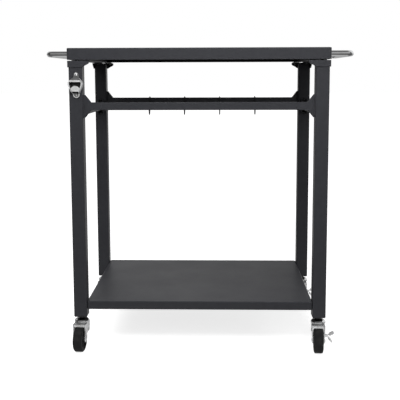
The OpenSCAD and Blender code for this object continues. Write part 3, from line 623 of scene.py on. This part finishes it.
def make_fork(end, side, materials):
    """Fork of one sheet: seat of the race, band across the front, cheeks, and ears for the brake."""
    node = f"caster_fork_{end}_{side}"
    seat_z = CROWN_Z - SHEET_T
    fork = caster_solid(end, side)
    fork.prism(rectangle(-FORK_OUTSIDE, FORK_FRONT, FORK_OUTSIDE, FORK_BACK), "Z", seat_z, CROWN_Z)
    fork.lathe([(RIVET_RADIUS, seat_z), (CROWN_RADIUS, seat_z), (CROWN_RADIUS, CROWN_Z),
                (RIVET_RADIUS, CROWN_Z)])
    fork.prism(rectangle(-FORK_OUTSIDE, SKIRT_Z, FORK_OUTSIDE, CROWN_Z), "Y",
               FORK_FRONT, FORK_FRONT + SHEET_T)
    front_rim = rectangle(FORK_FRONT, AXLE_Z + 11, FORK_FRONT + SHEET_T, CROWN_Z)
    for half in (-1, 1):
        fork.prism(cheek_outline(), "X", half * FORK_INSIDE, half * FORK_OUTSIDE)
        for rim in (front_rim, back_rim_outline()):
            fork.prism(rim, "X", half * FORK_OUTSIDE, half * (FORK_OUTSIDE + RIM_OUT))
    if side == "right":
        pivot_x, pivot_z = PIVOT
        root = FORK_OUTSIDE - 1
        ear = ([(root, pivot_z - BARREL_RADIUS), (pivot_x, pivot_z - BARREL_RADIUS)]
               + arc(PIVOT, BARREL_RADIUS, -90, 90, 12) + [(root, pivot_z + BARREL_RADIUS)])
        for half in (-1, 1):
            fork.prism(ear, "Y", -TRAIL + half * EAR_IN, -TRAIL + half * EAR_OUT)
    fork.done(f"fork_{end}_{side}", f"swivel_{end}_{side}", SLOT_OF[node],
              materials["caster_zinc"], node)


def make_axle(end, side, materials):
    """Axle pin with a low riveted head on each side."""
    node = f"caster_axle_{end}_{side}"
    middle = (-TRAIL, AXLE_Z)
    pin = caster_solid(end, side)
    for half in (-1, 1):
        head = [(6, FORK_OUTSIDE), (5.6, FORK_OUTSIDE + 1.4), (AXLE_RADIUS, FORK_OUTSIDE + 2),
                (0.5, FORK_OUTSIDE + 2)]
        pin.lathe([(r, half * x) for r, x in head], "X", middle, SMALL_STEPS)
    pin.lathe([(AXLE_RADIUS, -FORK_OUTSIDE), (AXLE_RADIUS, FORK_OUTSIDE)], "X", middle, SMALL_STEPS)
    pin.done(f"axle_{end}_{side}", f"swivel_{end}_{side}", SLOT_OF[node],
             materials["caster_zinc"], node)


def make_lever(end, side, materials):
    """Brake lever: a barrel on its pin, with one paddle up and one down."""
    node = f"brake_lever_{end}_{side}"
    pivot_x, pivot_z = PIVOT
    pivot = Vector((pivot_x, -TRAIL, pivot_z))
    lever = caster_solid(end, side)
    lever.lathe([(BARREL_RADIUS, -TRAIL - BARREL_HALF), (BARREL_RADIUS, -TRAIL + BARREL_HALF)],
                "Y", PIVOT, SMALL_STEPS)
    for tilt, width in PADDLES:
        along = Vector((math.cos(math.radians(tilt)), 0, math.sin(math.radians(tilt))))
        over = Vector((-along.z, 0, along.x))
        half = [(0, BARREL_HALF), (7, BARREL_HALF), (9, width / 2 - 3), (12, width / 2),
                (PADDLE_LENGTH - 4, width / 2), (PADDLE_LENGTH, width / 2 - 4)]
        blade = half + [(u, -v) for u, v in reversed(half)]
        lever.skin([[pivot + Vector((0, v, 0)) + along * u + over * lift for u, v in blade]
                    for lift in (-PADDLE_HALF_T, PADDLE_HALF_T)])
    lever.done(f"lever_{end}_{side}", f"brake_{end}_{side}", SLOT_OF[node],
               materials["caster_zinc"], node)


def make_forms(materials):
    """Draws every form, the brake levers on the right casters only."""
    for side in SIDES:
        make_handle(side, materials)
    make_opener(materials)
    make_lugs(materials)
    for side in SIDES:
        for end in ENDS:
            make_race(end, side, materials)
            make_fork(end, side, materials)
            make_axle(end, side, materials)
            if side == "right":
                make_lever(end, side, materials)


# Studio, in metres

FLOOR_SIZE = 60
FLOOR_DROP = 0.0002


def ramp(tree, value, low, high, to_low=0.0, to_high=1.0):
    """A smooth step of a value, held at its ends."""
    node = tree.nodes.new("ShaderNodeMapRange")
    node.interpolation_type = "SMOOTHSTEP"
    tree.links.new(value, node.inputs["Value"])
    node.inputs["From Min"].default_value = low
    node.inputs["From Max"].default_value = high
    node.inputs["To Min"].default_value = to_low
    node.inputs["To Max"].default_value = to_high
    return node.outputs["Result"]


def combine(tree, operation, a, b):
    """A sum, product or the like of two values, each an output or a number."""
    node = tree.nodes.new("ShaderNodeMath")
    node.operation = operation
    for value, target in ((a, node.inputs[0]), (b, node.inputs[1])):
        if isinstance(value, bpy.types.NodeSocket):
            tree.links.new(value, target)
        else:
            target.default_value = value
    return node.outputs["Value"]


def blend_by(tree, factor, low, high):
    """low where the factor is 0 and high where it is 1."""
    span = combine(tree, "SUBTRACT", high, low)
    return combine(tree, "ADD", low, combine(tree, "MULTIPLY", factor, span))


def parts_of(tree, vector):
    """X, Y and Z of a vector output."""
    node = tree.nodes.new("ShaderNodeSeparateXYZ")
    tree.links.new(vector, node.inputs[0])
    return [node.outputs[axis] for axis in "XYZ"]


def ray_kinds(tree):
    """Outputs that are 1 for what the camera sees, and for what is mirrored in metal."""
    path = tree.nodes.new("ShaderNodeLightPath").outputs
    seen = combine(tree, "MAXIMUM", path["Is Camera Ray"], path["Is Transmission Ray"])
    return seen, path["Is Glossy Ray"]


def mirrored_room(tree, room):
    """Light that metal mirrors, by the X, Y and Z of a direction: lit places in a dim room."""
    across, along, height = parts_of(tree, tree.nodes.new("ShaderNodeTexCoord").outputs["Generated"])
    # Light behind the cart, at the horizon on the right and above it on the left
    behind = ramp(tree, along, 0.15, 0.6)
    above = ramp(tree, height, 0.10, 0.20)
    at_horizon = ramp(tree, across, -0.16, 0.12, 0.05, 1.0)
    over_horizon = ramp(tree, across, -0.02, 0.09, 0.68, 0.16)
    backdrop = combine(tree, "MULTIPLY", behind, blend_by(tree, above, at_horizon, over_horizon))
    # Light all along the right-hand side
    beside = ramp(tree, across, 0.10, 0.45)
    flank = combine(tree, "MULTIPLY", beside, ramp(tree, along, -0.35, 0.15))
    # A strip ahead of the cart, over the horizon, lighter to the right
    ahead = ramp(tree, along, -0.35, -0.65)
    lighter = ramp(tree, across, -0.40, 0.30, 0.55, 0.95)
    bottom = ramp(tree, height, 0.02, 0.10)
    band = combine(tree, "MULTIPLY", bottom, ramp(tree, height, 0.35, 0.60, 1.0, 0.0))
    strip = combine(tree, "MULTIPLY", combine(tree, "MULTIPLY", ahead, lighter), band)
    # The room itself, lighter towards its ceiling
    dim = combine(tree, "MAXIMUM", ramp(tree, height, 0.55, 0.95, room, 2.5 * room), strip)
    return blend_by(tree, combine(tree, "MAXIMUM", backdrop, flank), dim, 1.0)


def make_world(fill, room):
    """Even fill on the cart, white for the camera, and the room that metal mirrors."""
    world = bpy.data.worlds.new("studio")
    bpy.context.scene.world = world
    world.use_nodes = True
    tree = world.node_tree
    seen, mirrored = ray_kinds(tree)
    level = blend_by(tree, mirrored, fill, mirrored_room(tree, room))
    background = tree.nodes["Background"]
    background.inputs["Color"].default_value = (1, 1, 1, 1)
    tree.links.new(blend_by(tree, seen, level, 1.0), background.inputs["Strength"])


def floor_glow(tree, seen, mirrored, near_glow):
    """Lifts the seen floor to white far from the cart, and lights parts of what metal mirrors."""
    place = tree.nodes.new("ShaderNodeTexCoord").outputs["Object"]
    along = parts_of(tree, place)[1]
    far = tree.nodes.new("ShaderNodeVectorMath")
    far.operation = "LENGTH"
    tree.links.new(place, far.inputs[0])
    lift = combine(tree, "MULTIPLY", seen, ramp(tree, far.outputs["Value"], 0.8, 3.5, near_glow, 1.0))
    behind = combine(tree, "MULTIPLY", ramp(tree, along, 0.0, 0.8), 0.4)
    far_ahead = ramp(tree, along, -2.5, -6.0, 0.0, 0.1)
    beneath = ramp(tree, far.outputs["Value"], 0.65, 0.9, 0.52, 0.0)
    lit = combine(tree, "MAXIMUM", behind, combine(tree, "MAXIMUM", beneath, far_ahead))
    return combine(tree, "MAXIMUM", lift, combine(tree, "MULTIPLY", mirrored, lit))


def make_floor(near_glow, other_level):
    """White floor that keeps the cart's shadow, and is darker to all but the camera's rays."""
    bpy.ops.mesh.primitive_plane_add(size=FLOOR_SIZE, location=(0, 0, -FLOOR_DROP))
    floor = bpy.context.object
    floor.name = "studio_floor"
    material = bpy.data.materials.new("studio_floor")
    material.use_nodes = True
    tree = material.node_tree
    surface = tree.nodes["Principled BSDF"]
    surface.inputs["Roughness"].default_value = 0.9
    surface.inputs["Specular IOR Level"].default_value = 0.1
    surface.inputs["Emission Color"].default_value = (1, 1, 1, 1)
    seen, mirrored = ray_kinds(tree)
    tree.links.new(floor_glow(tree, seen, mirrored, near_glow), surface.inputs["Emission Strength"])
    shade = tree.nodes.new("ShaderNodeMix")
    shade.data_type = "RGBA"
    tree.links.new(seen, shade.inputs["Factor"])
    shade.inputs[6].default_value = grey(other_level)
    shade.inputs[7].default_value = grey(0.8)
    tree.links.new(shade.outputs[2], surface.inputs["Base Color"])
    floor.data.materials.append(material)


def softbox(name, place, target, size, power):
    """Soft rectangular lamp that metal doesn't mirror: the world holds what it mirrors."""
    lamp = bpy.data.lights.new(name, "AREA")
    lamp.shape = "RECTANGLE"
    lamp.size, lamp.size_y = size
    lamp.energy = power
    holder = bpy.data.objects.new(name, lamp)
    holder.location = place
    holder.rotation_euler = (Vector(target) - Vector(place)).to_track_quat("-Z", "Y").to_euler()
    holder.visible_camera = False
    holder.visible_glossy = False
    bpy.context.scene.collection.objects.link(holder)


def make_camera():
    """Camera of the photograph, whose frame has its horizon above the middle."""
    lens = bpy.data.cameras.new("photo_camera")
    lens.sensor_fit = "HORIZONTAL"
    lens.sensor_width = SENSOR_WIDTH
    lens.lens = FOCAL_PIXELS / FRAME_PIXELS * SENSOR_WIDTH
    lens.shift_y = FRAME_SHIFT
    lens.clip_start = 0.05
    lens.clip_end = 100
    camera = bpy.data.objects.new("photo_camera", lens)
    turn = (Matrix.Rotation(math.radians(CAMERA_YAW), 4, "Z")
            @ Matrix.Rotation(math.radians(90 + CAMERA_PITCH), 4, "X")
            @ Matrix.Rotation(math.radians(CAMERA_ROLL), 4, "Z"))
    camera.matrix_world = Matrix.Translation(CAMERA_PLACE) @ turn
    bpy.context.scene.collection.objects.link(camera)
    bpy.context.scene.camera = camera


MATERIALS = make_materials()
dress_nodes(MATERIALS)
make_forms(MATERIALS)
make_world(fill=0.19, room=0.07)
make_floor(near_glow=0.76, other_level=0.14)
softbox("overhead", place=(-1.0, -0.5, 3.0), target=(0, 0, 0.4), size=(2.2, 2.6), power=60)
softbox("front_key", place=(0.36, -3.3, 1.9), target=(0.1, 0, 0.7), size=(0.5, 1.4), power=18)
softbox("top_key", place=(0.12, -1.6, 1.55), target=(0.0, -0.2, 0.85), size=(0.8, 0.5), power=25)
softbox("side_right", place=(2.4, -1.6, 1.6), target=(0, 0, 0.6), size=(1.2, 1.8), power=14)
softbox("side_left", place=(-2.0, -2.6, 2.3), target=(0, 0, 0.3), size=(1.2, 1.8), power=5)
make_camera()
bpy.context.scene.view_settings.view_transform = "Standard"
